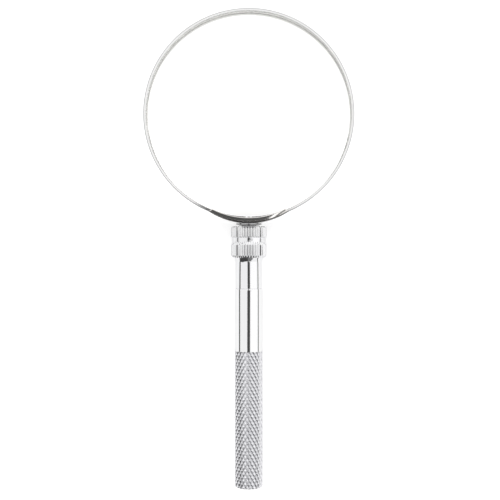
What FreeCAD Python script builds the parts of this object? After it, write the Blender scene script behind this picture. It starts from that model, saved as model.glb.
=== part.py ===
import FreeCAD, Part

# Hand lens with a collet handle, lying flat: +Z is the optical axis, +Y runs up the handle to the lens and
# +X is to the right. The origin is under the middle of the outline, at the height of the lowest rib of the
# knurled rings. Lengths are millimetres. Distances called "start" and "end" are measured down the handle
# from the centre of the lens.

import math
import os

import Sketcher

from FreeCAD import Placement, Rotation, Vector

AXIS = 0
X_DIRECTION = Vector(1, 0, 0)
Y_DIRECTION = Vector(0, 1, 0)
Z_DIRECTION = Vector(0, 0, 1)
QUARTER_TURN = 90
FULL_TURN = 360
SHEET = "dims"
ORIGIN_ELEMENT = -1
HORIZONTAL_AXIS = -1
VERTICAL_AXIS = -2
START_POINT = 1
END_POINT = 2
CENTRE_POINT = 3
VOLUME_STEP = 1e-3
EDGE_REACH = 1e-3

DRIVING = [
    ("lens_radius", 37.15, "edge of the glass"),
    ("lens_edge", 3.2, "thickness of the glass at its edge"),
    ("lens_middle", 8.5, "thickness of the glass at its centre"),
    ("lens_curve", 261.7, "radius of both polished faces"),
    ("rim_radius", 38.0, "outside of the rim band"),
    ("rim_wall", 0.5, "thickness of the band"),
    ("rim_depth", 6.8, "width of the band along the optical axis"),
    ("rim_lip", 0.25, "how far the rolled lips stand in from the band's wall"),
    ("rim_lip_thick", 0.4, "thickness of the lips"),
    ("rim_split", 0.3, "half of the gap between the band's two ends"),
    ("lug_thick", 0.6, "thickness of each closing lug"),
    ("lug_width", 3.2, "width of the closing lugs"),
    ("lug_end", 42.8, "lower end of the lugs"),
    ("packing_play", 0.02, "gap round the clear packing strip"),
    ("packing_hold", 0.15, "how far the packing covers the faces of the glass"),
    ("saddle_outer_arc", 26.6, "radius of the crescent's lower edge"),
    ("saddle_inner_arc", 29.67, "radius of the crescent's upper edge"),
    ("saddle_start", 37.4, "upper edge of the crescent at its middle"),
    ("saddle_end", 39.4, "lower edge of the crescent at its middle"),
    ("saddle_outer_tip", 14.5, "half width of the lower edge"),
    ("saddle_inner_tip", 13.0, "half width of the upper edge"),
    ("saddle_cheek", 0.8, "how far the crescent stands proud of the band's lips"),
    ("saddle_seat", 0.5, "depth of the socket that the neck stands in"),
    ("fit_play", 0.02, "gap between fixed pieces that fit together"),
    ("shank_radius", 2.5, "neck shank that the collet grips"),
    ("shank_end", 60.0, "tip of the shank"),
    ("shank_chamfer", 0.5, "bevel on the shank's tip"),
    ("pin_radius", 0.58, "cross pin through lugs and neck"),
    ("pin_length", 4.5, "length of the cross pin"),
    ("pin_at", 41.2, "place of the cross pin"),
    ("washer_radius", 4.7, "thrust washer between saddle and nut"),
    ("washer_start", 39.45, "upper face of the washer"),
    ("washer_thick", 0.5, "thickness of the washer"),
    ("running_play", 0.05, "gap between pieces that turn on each other"),
    ("ring_radius", 6.5, "crests of the straight knurls"),
    ("nut_nose_radius", 3.75, "plain nose of the collet nut"),
    ("nut_nose_start", 40.2, "front of the nose"),
    ("nut_start", 40.6, "front of the nut's ribs"),
    ("nut_end", 44.4, "back of the nut"),
    ("nut_bevel", 0.35, "bevel on the front edge of the ribs"),
    ("nut_thread_radius", 4.45, "inside of the nut's thread"),
    ("nut_thread_start", 41.9, "front of the nut's thread"),
    ("nut_cone_start", 40.8, "small end of the nut's closing cone"),
    ("nut_cone_end", 41.7, "large end of the nut's closing cone"),
    ("cone_small", 2.8, "small radius of the closing cone"),
    ("cone_large", 3.4, "large radius of the closing cone"),
    ("collet_bore", 2.53, "bore that closes on the shank"),
    ("collet_start", 40.95, "front of the collet"),
    ("collet_end", 51.8, "back of the collet"),
    ("collet_cone_gap", 0.03, "gap between collet and nut cones"),
    ("collet_slot", 0.4, "width of the collet's saw cuts"),
    ("collet_slot_end", 49.5, "closed end of the saw cuts"),
    ("collet_slots", 4, "saw cuts round the collet"),
    ("ferrule_nose_radius", 4.4, "threaded nose that the nut screws on"),
    ("ferrule_nose_start", 42.0, "front of the threaded nose"),
    ("shoulder_start", 44.5, "front of the plain shoulder"),
    ("shoulder_radius", 6.2, "plain shoulder in front of the knurl"),
    ("shoulder_end", 47.3, "where the knurl starts"),
    ("knurl_end", 51.4, "back of the knurled ring"),
    ("flare_radius", 5.35, "wide end of the hollow flare"),
    ("flare_end", 53.4, "narrow end of the hollow flare"),
    ("flare_arc", 4.05, "radius of the hollow flare"),
    ("taper_small", 4.82, "narrow end of the ferrule's taper"),
    ("taper_large", 4.93, "wide end of the ferrule's taper"),
    ("chamber_radius", 3.48, "chamber that the collet slides in"),
    ("chamber_end", 51.9, "floor of the collet chamber"),
    ("clearance_bore", 2.65, "bore behind the collet for the shank"),
    ("seam_at", 63.1, "joint between ferrule and tube"),
    ("spigot_radius", 4.0, "plug of the ferrule inside the tube"),
    ("spigot_end", 71.0, "end of the ferrule's plug"),
    ("tube_radius", 5.1, "outside of the handle tube"),
    ("tube_end", 134.9, "end of the handle"),
    ("tube_round", 0.5, "rounding of the handle's end"),
    ("plug_length", 3.0, "length of the end plug"),
    ("plug_bevel", 0.3, "bevel on the plug's inner end"),
    ("rib_count", 40, "ribs round each knurled ring"),
    ("rib_depth", 0.3, "depth of the grooves between ribs"),
    ("rib_groove", 0.36, "half width of a groove at the crests"),
    ("rib_cut_over", 0.2, "how far the groove cutter stands out of the ring"),
]

DERIVED = [
    ("axis_height", "=ring_radius", "the handle's axis above the lowest rib"),
    ("lens_place", "=(tube_end - rim_radius) / 2", "the lens's centre from the origin"),
    ("curve_offset", "=lens_curve - lens_middle / 2", "centre of each polished face from the lens's middle"),
    ("rim_inner", "=rim_radius - rim_wall", "inside of the band's wall"),
    ("lip_inner", "=rim_inner - rim_lip", "edge of the lips"),
    ("rim_half", "=rim_depth / 2", "front face of the band"),
    ("lip_back", "=rim_half - rim_lip_thick", "inner face of the lip"),
    ("lug_inner", "=rim_split", "inner face of a lug"),
    ("lug_outer", "=rim_split + lug_thick", "outer face of a lug"),
    ("lug_start", "=rim_radius - rim_wall / 2", "root of a lug"),
    ("split_reach", "=rim_radius + rim_wall", "far end of the cutter for the band's gap"),
    ("split_start", "=lip_inner - rim_wall", "near end of the cutter for the band's gap"),
    ("packing_outer", "=rim_inner - packing_play", "outside of the packing"),
    ("packing_inner", "=lens_radius + packing_play", "wall of the packing round the glass"),
    ("packing_cover", "=lens_radius - packing_hold", "inner edge of the packing's flanges"),
    ("packing_half", "=lip_back - packing_play", "front face of the packing"),
    ("packing_floor", "=lens_edge / 2 + packing_play * 2", "inner face of the packing's flange"),
    ("saddle_outer_centre", "=saddle_end - saddle_outer_arc", "centre of the lower arc"),
    ("saddle_inner_centre", "=saddle_start - saddle_inner_arc", "centre of the upper arc"),
    ("saddle_depth", "=rim_depth + 2 * saddle_cheek", "crescent's size along the optical axis"),
    ("channel_radius", "=rim_radius + fit_play", "channel for the band in the crescent"),
    ("channel_depth", "=rim_depth + 2 * fit_play", "width of that channel"),
    ("seat_start", "=saddle_end - saddle_seat", "floor of the neck's socket"),
    ("seat_radius", "=shank_radius + fit_play", "socket for the neck"),
    ("lug_slot_half", "=lug_outer + fit_play", "half of the slot for the lugs"),
    ("lug_slot_side", "=lug_width / 2 + fit_play", "the slot's half length"),
    ("lug_slot_end", "=lug_end + running_play", "floor of the slot in the neck"),
    ("shank_bevel_start", "=shank_end - shank_chamfer", "start of the shank's bevel"),
    ("shank_tip_radius", "=shank_radius - shank_chamfer", "flat of the shank's tip"),
    ("pin_hole", "=pin_radius + fit_play", "hole for the cross pin"),
    ("washer_bore", "=shank_radius + running_play", "hole in the washer"),
    ("washer_end", "=washer_start + washer_thick", "lower face of the washer"),
    ("nut_hole", "=clearance_bore", "hole in the front of the nut"),
    ("nut_bevel_radius", "=ring_radius - nut_bevel", "small end of the front bevel"),
    ("nut_bevel_end", "=nut_start + nut_bevel", "back of the front bevel"),
    ("nut_ribs_long", "=nut_end - nut_start", "length of the nut's ribs"),
    ("collet_tip", "=cone_small - collet_cone_gap", "small radius of the collet's cone"),
    ("collet_outer", "=chamber_radius - running_play", "outside of the collet"),
    ("collet_grip", "=cone_large - collet_cone_gap", "large radius of the collet's cone"),
    ("collet_step_end", "=ferrule_nose_start + running_play", "where the collet fills its chamber"),
    ("saw_start", "=collet_start - collet_slot", "where the saw comes in"),
    ("collet_cone_end", "=nut_cone_end + running_play", "large end of the collet's cone"),
    ("ring_ribs_long", "=knurl_end - shoulder_end", "length of the ferrule's ribs"),
    ("tube_bore", "=spigot_radius + fit_play", "bore of the handle tube"),
    ("plug_start", "=tube_end - plug_length", "inner end of the plug"),
    ("plug_bevel_end", "=plug_start + plug_bevel", "back of the plug's bevel"),
    ("plug_tip", "=spigot_radius - plug_bevel", "small end of the plug's bevel"),
    ("rib_root", "=ring_radius - rib_depth", "bottom of the grooves"),
    ("rib_cutter_top", "=ring_radius + rib_cut_over", "top of the groove cutter"),
    ("rib_cutter_half", "=rib_groove * (rib_depth + rib_cut_over) / rib_depth", "half width of the cutter's top"),
    ("half_pitch", "=180 / rib_count", "half the angle from rib to rib"),
]


def make_sheet(doc):
    """The spreadsheet: plain numbers first, then the sizes that follow from them."""
    sheet = doc.addObject("Spreadsheet::Sheet", SHEET)
    for row, (alias, value, note) in enumerate(DRIVING + DERIVED, start=1):
        sheet.set(f"A{row}", alias)
        sheet.set(f"B{row}", str(value))
        sheet.set(f"C{row}", note)
        sheet.setAlias(f"B{row}", alias)
        if row == len(DRIVING):
            doc.recompute()
    doc.recompute()
    return sheet


def number(sheet, term):
    """The value behind a term: an alias, an alias with a minus sign, or AXIS."""
    if term == AXIS:
        return 0.0
    sign = -1.0 if term.startswith("-") else 1.0
    return sign * float(sheet.get(term.lstrip("-")))


def cell(term):
    """The expression that ties a property to a cell of the sheet."""
    sign = "-" if term.startswith("-") else ""
    return f"{sign}{SHEET}.{term.lstrip('-')}"


def new_body(doc, name):
    body = doc.addObject("PartDesign::Body", name)
    body.Label = name
    return body


def plane_of(body, role):
    return next(f for f in body.Origin.OriginFeatures if f.Role == role)


def new_sketch(body, name, role):
    sketch = body.newObject("Sketcher::SketchObject", name)
    sketch.AttachmentSupport = [(plane_of(body, role), "")]
    sketch.MapMode = "FlatFace"
    return sketch


def tie_point(sheet, sketch, geometry, point, across, along):
    """Hold one end of an edge at the place that two terms give."""
    if across == AXIS:
        sketch.addConstraint(Sketcher.Constraint("PointOnObject", geometry, point, VERTICAL_AXIS))
    else:
        tie_size(sketch, "DistanceX", (ORIGIN_ELEMENT, START_POINT, geometry, point), sheet, across)
    if along == AXIS:
        sketch.addConstraint(Sketcher.Constraint("PointOnObject", geometry, point, HORIZONTAL_AXIS))
    else:
        tie_size(sketch, "DistanceY", (ORIGIN_ELEMENT, START_POINT, geometry, point), sheet, along)


def tie_size(sketch, kind, where, sheet, term):
    """One dimension of a sketch, driven by the sheet."""
    index = sketch.addConstraint(Sketcher.Constraint(kind, *where, number(sheet, term)))
    sketch.setExpression(f"Constraints[{index}]", cell(term))


def outline(sheet, sketch, points):
    """A closed outline through points given as pairs of terms, with straight edges between them.

    A third term makes the edge that leaves a point a hollow arc of that radius.
    """
    places = [Vector(number(sheet, point[0]), number(sheet, point[1]), 0) for point in points]
    edges = []
    for point, start, end in zip(points, places, places[1:] + places[:1]):
        if len(point) == 2:
            edges.append((sketch.addGeometry(Part.LineSegment(start, end)), START_POINT, END_POINT))
        else:
            arc = sketch.addGeometry(hollow_arc(start, end, number(sheet, point[2])))
            tie_size(sketch, "Radius", (arc,), sheet, point[2])
            edges.append((arc, END_POINT, START_POINT))
    for point, edge, following in zip(points, edges, edges[1:] + edges[:1]):
        tie_point(sheet, sketch, edge[0], edge[1], point[0], point[1])
        sketch.addConstraint(Sketcher.Constraint("Coincident", edge[0], edge[2], following[0], following[1]))


def hollow_arc(start, end, radius):
    """The short arc between two points whose centre lies to the left of the way from start to end."""
    chord = end - start
    across = Vector(chord.y, -chord.x, 0).normalize()
    rise = math.sqrt(radius**2 - (chord.Length / 2) ** 2)
    centre = start + chord / 2 + across * rise
    first = math.atan2(end.y - centre.y, end.x - centre.x)
    last = math.atan2(start.y - centre.y, start.x - centre.x)
    return Part.ArcOfCircle(Part.Circle(centre, Z_DIRECTION, radius), first, last)


def circle(sheet, sketch, radius, across, along):
    """A circle whose centre and radius follow the sheet."""
    centre = Vector(number(sheet, across), number(sheet, along), 0)
    index = sketch.addGeometry(Part.Circle(centre, Z_DIRECTION, number(sheet, radius)))
    tie_point(sheet, sketch, index, CENTRE_POINT, across, along)
    tie_size(sketch, "Radius", (index,), sheet, radius)


def low_arc(sheet, sketch, radius, centre, half_width):
    """An arc below its centre, from left to right, as wide as two half widths."""
    size = number(sheet, radius)
    middle = Vector(0, number(sheet, centre), 0)
    spread = math.asin(number(sheet, half_width) / size)
    down = -math.pi / 2
    arc = Part.ArcOfCircle(Part.Circle(middle, Z_DIRECTION, size), down - spread, down + spread)
    index = sketch.addGeometry(arc)
    tie_point(sheet, sketch, index, CENTRE_POINT, AXIS, centre)
    tie_size(sketch, "Radius", (index,), sheet, radius)
    tie_size(sketch, "DistanceX", (ORIGIN_ELEMENT, START_POINT, index, START_POINT), sheet, "-" + half_width)
    tie_size(sketch, "DistanceX", (ORIGIN_ELEMENT, START_POINT, index, END_POINT), sheet, half_width)
    return index


def join_ends(sketch, first, second):
    """Straight edges that close two arcs at their left and right ends."""
    arcs = [sketch.Geometry[first], sketch.Geometry[second]]
    for point, place in ((START_POINT, "StartPoint"), (END_POINT, "EndPoint")):
        ends = [getattr(arc, place) for arc in arcs]
        line = sketch.addGeometry(Part.LineSegment(*ends))
        sketch.addConstraint(Sketcher.Constraint("Coincident", line, START_POINT, first, point))
        sketch.addConstraint(Sketcher.Constraint("Coincident", line, END_POINT, second, point))


def revolve(body, sketch, name):
    """Turn a sketch of radius against length about the upright axis of its plane."""
    turned = body.newObject("PartDesign::Revolution", name)
    turned.Profile = sketch
    turned.ReferenceAxis = (sketch, ["V_Axis"])
    turned.Angle = FULL_TURN
    return turned


def turned_body(doc, sheet, name, points):
    """A body of revolution about its own Z axis, from points of radius and length."""
    body = new_body(doc, name)
    sketch = new_sketch(body, f"{name}_profile", "XZ_Plane")
    outline(sheet, sketch, points)
    revolve(body, sketch, f"{name}_turned")
    doc.recompute()
    return body


def symmetric_pad(body, sketch, name, length):
    pad = body.newObject("PartDesign::Pad", name)
    pad.Profile = sketch
    pad.SideType = "Symmetric"
    pad.setExpression("Length", cell(length))
    return pad


def symmetric_cut(body, sketch, name, length):
    """A pocket that goes the same way to both sides of its sketch."""
    pocket = body.newObject("PartDesign::Pocket", name)
    pocket.Profile = sketch
    pocket.SideType = "Symmetric"
    pocket.setExpression("Length", cell(length))
    return pocket


def check_cut(doc, body, before, name):
    """Stop if a cut took nothing away."""
    doc.recompute()
    if before - body.Shape.Volume < VOLUME_STEP:
        raise RuntimeError(f"{name} cut nothing")


def lay_along_handle(sheet, item):
    """Turn a piece made along Z so that it runs down the handle from the lens's centre."""
    item.Placement = Placement(Vector(0, 0, 0), Rotation(X_DIRECTION, QUARTER_TURN))
    tie_to_lens(item)


def tie_to_lens(item):
    item.setExpression("Placement.Base.y", cell("lens_place"))
    item.setExpression("Placement.Base.z", cell("axis_height"))


def cut_ribs(doc, sheet, body, start, length):
    """Straight knurling: one V groove beside the rib that stands on X, repeated all round."""
    name = body.Name
    sketch = new_sketch(body, f"{name}_groove_section", "XY_Plane")
    outline(
        sheet,
        sketch,
        [
            ("rib_root", AXIS),
            ("rib_cutter_top", "rib_cutter_half"),
            ("rib_cutter_top", "-rib_cutter_half"),
        ],
    )
    sketch.AttachmentOffset = Placement(
        Vector(0, 0, number(sheet, start)), Rotation(Z_DIRECTION, number(sheet, "half_pitch"))
    )
    sketch.setExpression("AttachmentOffset.Base.z", cell(start))
    before = body.Shape.Volume
    groove = body.newObject("PartDesign::Pocket", f"{name}_groove")
    groove.Profile = sketch
    groove.Reversed = True
    groove.setExpression("Length", cell(length))
    check_cut(doc, body, before, f"{name} groove")
    repeat_round(doc, body, groove, f"{name}_ribs", "rib_count")


def repeat_round(doc, body, feature, name, count):
    """Repeat a cut evenly round the body's own Z axis."""
    pattern = body.newObject("PartDesign::PolarPattern", name)
    pattern.Originals = [feature]
    pattern.Axis = (plane_of(body, "Z_Axis"), [""])
    pattern.Angle = FULL_TURN
    pattern.setExpression("Occurrences", cell(count))
    body.Tip = pattern
    doc.recompute()


def round_edge(doc, sheet, body, radius, along, size):
    """Round the circular edge that has the given radius and place on the body's own Z axis."""
    for number_of_edge, edge in enumerate(body.Shape.Edges, start=1):
        place = edge.BoundBox.ZMax
        wide = edge.BoundBox.XMax
        if abs(place - number(sheet, along)) < EDGE_REACH and abs(wide - number(sheet, radius)) < EDGE_REACH:
            if edge.BoundBox.ZLength < EDGE_REACH:
                break
    else:
        raise RuntimeError(f"{body.Name} has no edge at {radius}, {along}")
    base = body.Tip
    fillet = body.newObject("PartDesign::Fillet", f"{body.Name}_{size}")
    fillet.Base = (base, [f"Edge{number_of_edge}"])
    fillet.setExpression("Radius", cell(size))
    doc.recompute()


def make_lens(doc, sheet):
    """Biconvex glass: a disc as wide as the lens, bounded by two large spheres."""
    disc = doc.addObject("Part::Cylinder", "lens_disc")
    disc.setExpression("Radius", cell("lens_radius"))
    disc.setExpression("Height", "2 * " + cell("lens_middle"))
    disc.setExpression("Placement.Base.z", "-" + cell("lens_middle"))
    faces = [disc]
    for name, sign in (("lens_upper_face", "-"), ("lens_lower_face", "")):
        face = doc.addObject("Part::Sphere", name)
        face.setExpression("Radius", cell("lens_curve"))
        face.setExpression("Placement.Base.z", sign + cell("curve_offset"))
        faces.append(face)
    lens = doc.addObject("Part::MultiCommon", "lens")
    lens.Shapes = faces
    lens.Label = "lens"
    tie_to_lens(lens)
    return lens


def make_packing(doc, sheet):
    """Clear U-section strip round the edge of the glass, which stops it rattling in the band."""
    body = turned_body(
        doc,
        sheet,
        "lens_packing",
        [
            ("packing_outer", "-packing_half"),
            ("packing_outer", "packing_half"),
            ("packing_cover", "packing_half"),
            ("packing_cover", "packing_floor"),
            ("packing_inner", "packing_floor"),
            ("packing_inner", "-packing_floor"),
            ("packing_cover", "-packing_floor"),
            ("packing_cover", "-packing_half"),
        ],
    )
    tie_to_lens(body)
    return body


def make_rim_band(doc, sheet):
    """Thin band with rolled lips, split at the handle, its two ends turned down as closing lugs."""
    body = turned_body(
        doc,
        sheet,
        "rim_band",
        [
            ("rim_radius", "-rim_half"),
            ("rim_radius", "rim_half"),
            ("lip_inner", "rim_half"),
            ("lip_inner", "lip_back"),
            ("rim_inner", "lip_back"),
            ("rim_inner", "-lip_back"),
            ("lip_inner", "-lip_back"),
            ("lip_inner", "-rim_half"),
        ],
    )
    gap = new_sketch(body, "rim_gap_section", "XY_Plane")
    outline(
        sheet,
        gap,
        [
            ("-rim_split", "-split_reach"),
            ("rim_split", "-split_reach"),
            ("rim_split", "-split_start"),
            ("-rim_split", "-split_start"),
        ],
    )
    before = body.Shape.Volume
    symmetric_cut(body, gap, "rim_gap", "saddle_depth")
    check_cut(doc, body, before, "rim gap")
    lugs = new_sketch(body, "lug_section", "XY_Plane")
    for near, far in (("lug_inner", "lug_outer"), ("-lug_outer", "-lug_inner")):
        outline(
            sheet,
            lugs,
            [
                (near, "-lug_end"),
                (far, "-lug_end"),
                (far, "-lug_start"),
                (near, "-lug_start"),
            ],
        )
    symmetric_pad(body, lugs, "closing_lugs", "lug_width")
    doc.recompute()
    hole = new_sketch(body, "lug_hole_section", "YZ_Plane")
    circle(sheet, hole, "pin_hole", "-pin_at", AXIS)
    before = body.Shape.Volume
    symmetric_cut(body, hole, "lug_hole", "pin_length")
    check_cut(doc, body, before, "lug hole")
    tie_to_lens(body)
    return body


def make_saddle(doc, sheet):
    """Crescent that straddles the band over its split and carries the neck."""
    body = new_body(doc, "saddle")
    crescent = new_sketch(body, "crescent", "XY_Plane")
    lower = low_arc(sheet, crescent, "saddle_outer_arc", "-saddle_outer_centre", "saddle_outer_tip")
    upper = low_arc(sheet, crescent, "saddle_inner_arc", "-saddle_inner_centre", "saddle_inner_tip")
    join_ends(crescent, lower, upper)
    symmetric_pad(body, crescent, "crescent_pad", "saddle_depth")
    doc.recompute()
    channel = new_sketch(body, "channel_section", "XY_Plane")
    circle(sheet, channel, "channel_radius", AXIS, AXIS)
    before = body.Shape.Volume
    symmetric_cut(body, channel, "channel", "channel_depth")
    check_cut(doc, body, before, "channel")
    slot = new_sketch(body, "lug_slot_section", "XZ_Plane")
    outline(
        sheet,
        slot,
        [
            ("-lug_slot_half", "-lug_slot_side"),
            ("lug_slot_half", "-lug_slot_side"),
            ("lug_slot_half", "lug_slot_side"),
            ("-lug_slot_half", "lug_slot_side"),
        ],
    )
    before = body.Shape.Volume
    through = body.newObject("PartDesign::Pocket", "lug_slot")
    through.Profile = slot
    through.SideType = "Symmetric"
    through.Type = "ThroughAll"
    check_cut(doc, body, before, "lug slot")
    seat = new_sketch(body, "neck_seat_section", "XZ_Plane")
    seat.AttachmentOffset = Placement(Vector(0, 0, number(sheet, "seat_start")), Rotation())
    seat.setExpression("AttachmentOffset.Base.z", cell("seat_start"))
    circle(sheet, seat, "seat_radius", AXIS, AXIS)
    before = body.Shape.Volume
    socket = body.newObject("PartDesign::Pocket", "neck_seat")
    socket.Profile = seat
    socket.Reversed = True
    socket.setExpression("Length", "2 * " + cell("saddle_seat"))
    check_cut(doc, body, before, "neck seat")
    tie_to_lens(body)
    return body


def make_neck_shank(doc, sheet):
    """Plain shank fixed in the saddle: its top is slotted for the band's lugs and cross drilled."""
    body = turned_body(
        doc,
        sheet,
        "neck_shank",
        [
            (AXIS, "seat_start"),
            ("shank_radius", "seat_start"),
            ("shank_radius", "shank_bevel_start"),
            ("shank_tip_radius", "shank_end"),
            (AXIS, "shank_end"),
        ],
    )
    slot = new_sketch(body, "shank_slot_section", "XZ_Plane")
    outline(
        sheet,
        slot,
        [
            ("-lug_slot_half", "lug_slot_end"),
            ("lug_slot_half", "lug_slot_end"),
            ("lug_slot_half", "rim_inner"),
            ("-lug_slot_half", "rim_inner"),
        ],
    )
    before = body.Shape.Volume
    cut = body.newObject("PartDesign::Pocket", "shank_slot")
    cut.Profile = slot
    cut.SideType = "Symmetric"
    cut.setExpression("Length", "2 * " + cell("lug_slot_side"))
    check_cut(doc, body, before, "shank slot")
    hole = new_sketch(body, "shank_hole_section", "YZ_Plane")
    circle(sheet, hole, "pin_hole", AXIS, "pin_at")
    before = body.Shape.Volume
    drilled = body.newObject("PartDesign::Pocket", "shank_hole")
    drilled.Profile = hole
    drilled.SideType = "Symmetric"
    drilled.Type = "ThroughAll"
    check_cut(doc, body, before, "shank hole")
    lay_along_handle(sheet, body)
    return body


def make_lug_pin(doc, sheet):
    """Cross pin that holds the two lugs together inside the neck."""
    pin = doc.addObject("Part::Cylinder", "lug_pin")
    pin.Label = "lug_pin"
    pin.setExpression("Radius", cell("pin_radius"))
    pin.setExpression("Height", cell("pin_length"))
    pin.Placement = Placement(Vector(0, 0, 0), Rotation(Y_DIRECTION, QUARTER_TURN))
    pin.setExpression("Placement.Base.x", "-" + cell("pin_length") + " / 2")
    pin.setExpression("Placement.Base.y", f"{cell('lens_place')} - {cell('pin_at')}")
    pin.setExpression("Placement.Base.z", cell("axis_height"))
    return pin


def make_washer(doc, sheet):
    """Thrust washer that turns on the neck between the saddle and the nut."""
    body = turned_body(
        doc,
        sheet,
        "neck_washer",
        [
            ("washer_bore", "washer_start"),
            ("washer_radius", "washer_start"),
            ("washer_radius", "washer_end"),
            ("washer_bore", "washer_end"),
        ],
    )
    lay_along_handle(sheet, body)
    return body


def make_chuck_nut(doc, sheet):
    """Upper knurled ring: screws on the ferrule's nose, and its inner cone closes the collet."""
    body = turned_body(
        doc,
        sheet,
        "chuck_nut",
        [
            ("nut_hole", "nut_nose_start"),
            ("nut_nose_radius", "nut_nose_start"),
            ("nut_nose_radius", "nut_start"),
            ("nut_bevel_radius", "nut_start"),
            ("ring_radius", "nut_bevel_end"),
            ("ring_radius", "nut_end"),
            ("nut_thread_radius", "nut_end"),
            ("nut_thread_radius", "nut_thread_start"),
            ("cone_large", "nut_thread_start"),
            ("cone_large", "nut_cone_end"),
            ("cone_small", "nut_cone_start"),
            ("nut_hole", "nut_cone_start"),
        ],
    )
    cut_ribs(doc, sheet, body, "nut_start", "nut_ribs_long")
    lay_along_handle(sheet, body)
    return body


def make_collet(doc, sheet):
    """Split sleeve that the nut squeezes on the shank: a cone in front, four saw cuts along it."""
    body = turned_body(
        doc,
        sheet,
        "collet",
        [
            ("collet_bore", "collet_start"),
            ("collet_tip", "collet_start"),
            ("collet_grip", "collet_cone_end"),
            ("collet_grip", "ferrule_nose_start"),
            ("collet_outer", "collet_step_end"),
            ("collet_outer", "collet_end"),
            ("collet_bore", "collet_end"),
        ],
    )
    sketch = new_sketch(body, "saw_cut_section", "XZ_Plane")
    outline(
        sheet,
        sketch,
        [
            (AXIS, "saw_start"),
            ("chamber_radius", "saw_start"),
            ("chamber_radius", "collet_slot_end"),
            (AXIS, "collet_slot_end"),
        ],
    )
    before = body.Shape.Volume
    saw_cut = symmetric_cut(body, sketch, "saw_cut", "collet_slot")
    check_cut(doc, body, before, "saw cut")
    repeat_round(doc, body, saw_cut, "saw_cuts", "collet_slots")
    lay_along_handle(sheet, body)
    return body


def make_ferrule(doc, sheet):
    """Lower knurled ring and tapered shank in one turned piece, with a plug that fits the tube."""
    body = turned_body(
        doc,
        sheet,
        "ferrule",
        [
            ("chamber_radius", "ferrule_nose_start"),
            ("ferrule_nose_radius", "ferrule_nose_start"),
            ("ferrule_nose_radius", "shoulder_start"),
            ("shoulder_radius", "shoulder_start"),
            ("shoulder_radius", "shoulder_end"),
            ("ring_radius", "shoulder_end"),
            ("ring_radius", "knurl_end"),
            ("flare_radius", "knurl_end", "flare_arc"),
            ("taper_small", "flare_end"),
            ("taper_large", "seam_at"),
            ("spigot_radius", "seam_at"),
            ("spigot_radius", "spigot_end"),
            ("clearance_bore", "spigot_end"),
            ("clearance_bore", "chamber_end"),
            ("chamber_radius", "chamber_end"),
        ],
    )
    cut_ribs(doc, sheet, body, "shoulder_end", "ring_ribs_long")
    lay_along_handle(sheet, body)
    return body


def make_handle_tube(doc, sheet):
    """One drawn tube: plain in front, knurled over its back two thirds."""
    body = turned_body(
        doc,
        sheet,
        "handle_tube",
        [
            ("tube_bore", "seam_at"),
            ("tube_radius", "seam_at"),
            ("tube_radius", "tube_end"),
            ("tube_bore", "tube_end"),
        ],
    )
    round_edge(doc, sheet, body, "tube_radius", "tube_end", "tube_round")
    lay_along_handle(sheet, body)
    return body


def make_end_plug(doc, sheet):
    """Disc pressed in the back of the tube, flush with its end."""
    body = turned_body(
        doc,
        sheet,
        "end_plug",
        [
            (AXIS, "plug_start"),
            ("plug_tip", "plug_start"),
            ("spigot_radius", "plug_bevel_end"),
            ("spigot_radius", "tube_end"),
            (AXIS, "tube_end"),
        ],
    )
    lay_along_handle(sheet, body)
    return body


def check_document(doc):
    """Stop if any object of the document failed to build."""
    for item in doc.Objects:
        if {"Invalid", "Error"} & set(item.State):
            raise RuntimeError(f"{item.Name} failed: {item.State}")


def write_nodes(nodes):
    """Check each piece's solid and write it to a file named after it."""
    os.makedirs("parts", exist_ok=True)
    for node in nodes:
        shape = node.Shape
        if shape.isNull() or not shape.isValid():
            raise RuntimeError(f"{node.Label} has no valid shape")
    for node in nodes:
        box = node.Shape.BoundBox
        print(
            f"{node.Label}: {len(node.Shape.Solids)} solid, {node.Shape.Volume:.1f} mm3, "
            f"Y {box.YMin:.2f}..{box.YMax:.2f}, Z {box.ZMin:.2f}..{box.ZMax:.2f}"
        )
        node.Shape.exportStep(f"parts/{node.Label}.step")


def main():
    doc = FreeCAD.newDocument("hand_lens")
    sheet = make_sheet(doc)
    makers = [
        make_lens,
        make_packing,
        make_rim_band,
        make_saddle,
        make_neck_shank,
        make_lug_pin,
        make_washer,
        make_chuck_nut,
        make_collet,
        make_ferrule,
        make_handle_tube,
        make_end_plug,
    ]
    nodes = [maker(doc, sheet) for maker in makers]
    doc.recompute()
    check_document(doc)
    write_nodes(nodes)


main()
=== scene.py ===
# %% [markdown]
# # A hand lens with a collet handle, from the inside of the band to the knurled grip
#
# The object is a large reading glass of the kind used on a survey table: a round biconvex glass in
# a thin chromed band, a polished crescent under it, and a slim handle that grips the crescent's
# shank with a split collet, as a pin vise grips a drill. Nearly every part of it is turned on a
# lathe, so most of this lesson is about profiles that are spun, and about Geometry Nodes that
# repeat one narrow sector of a knurled part all the way round.
#
# The engineering model is loaded first and gives every position and every outside size.

# %% Load the engineering model
import math

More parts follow.
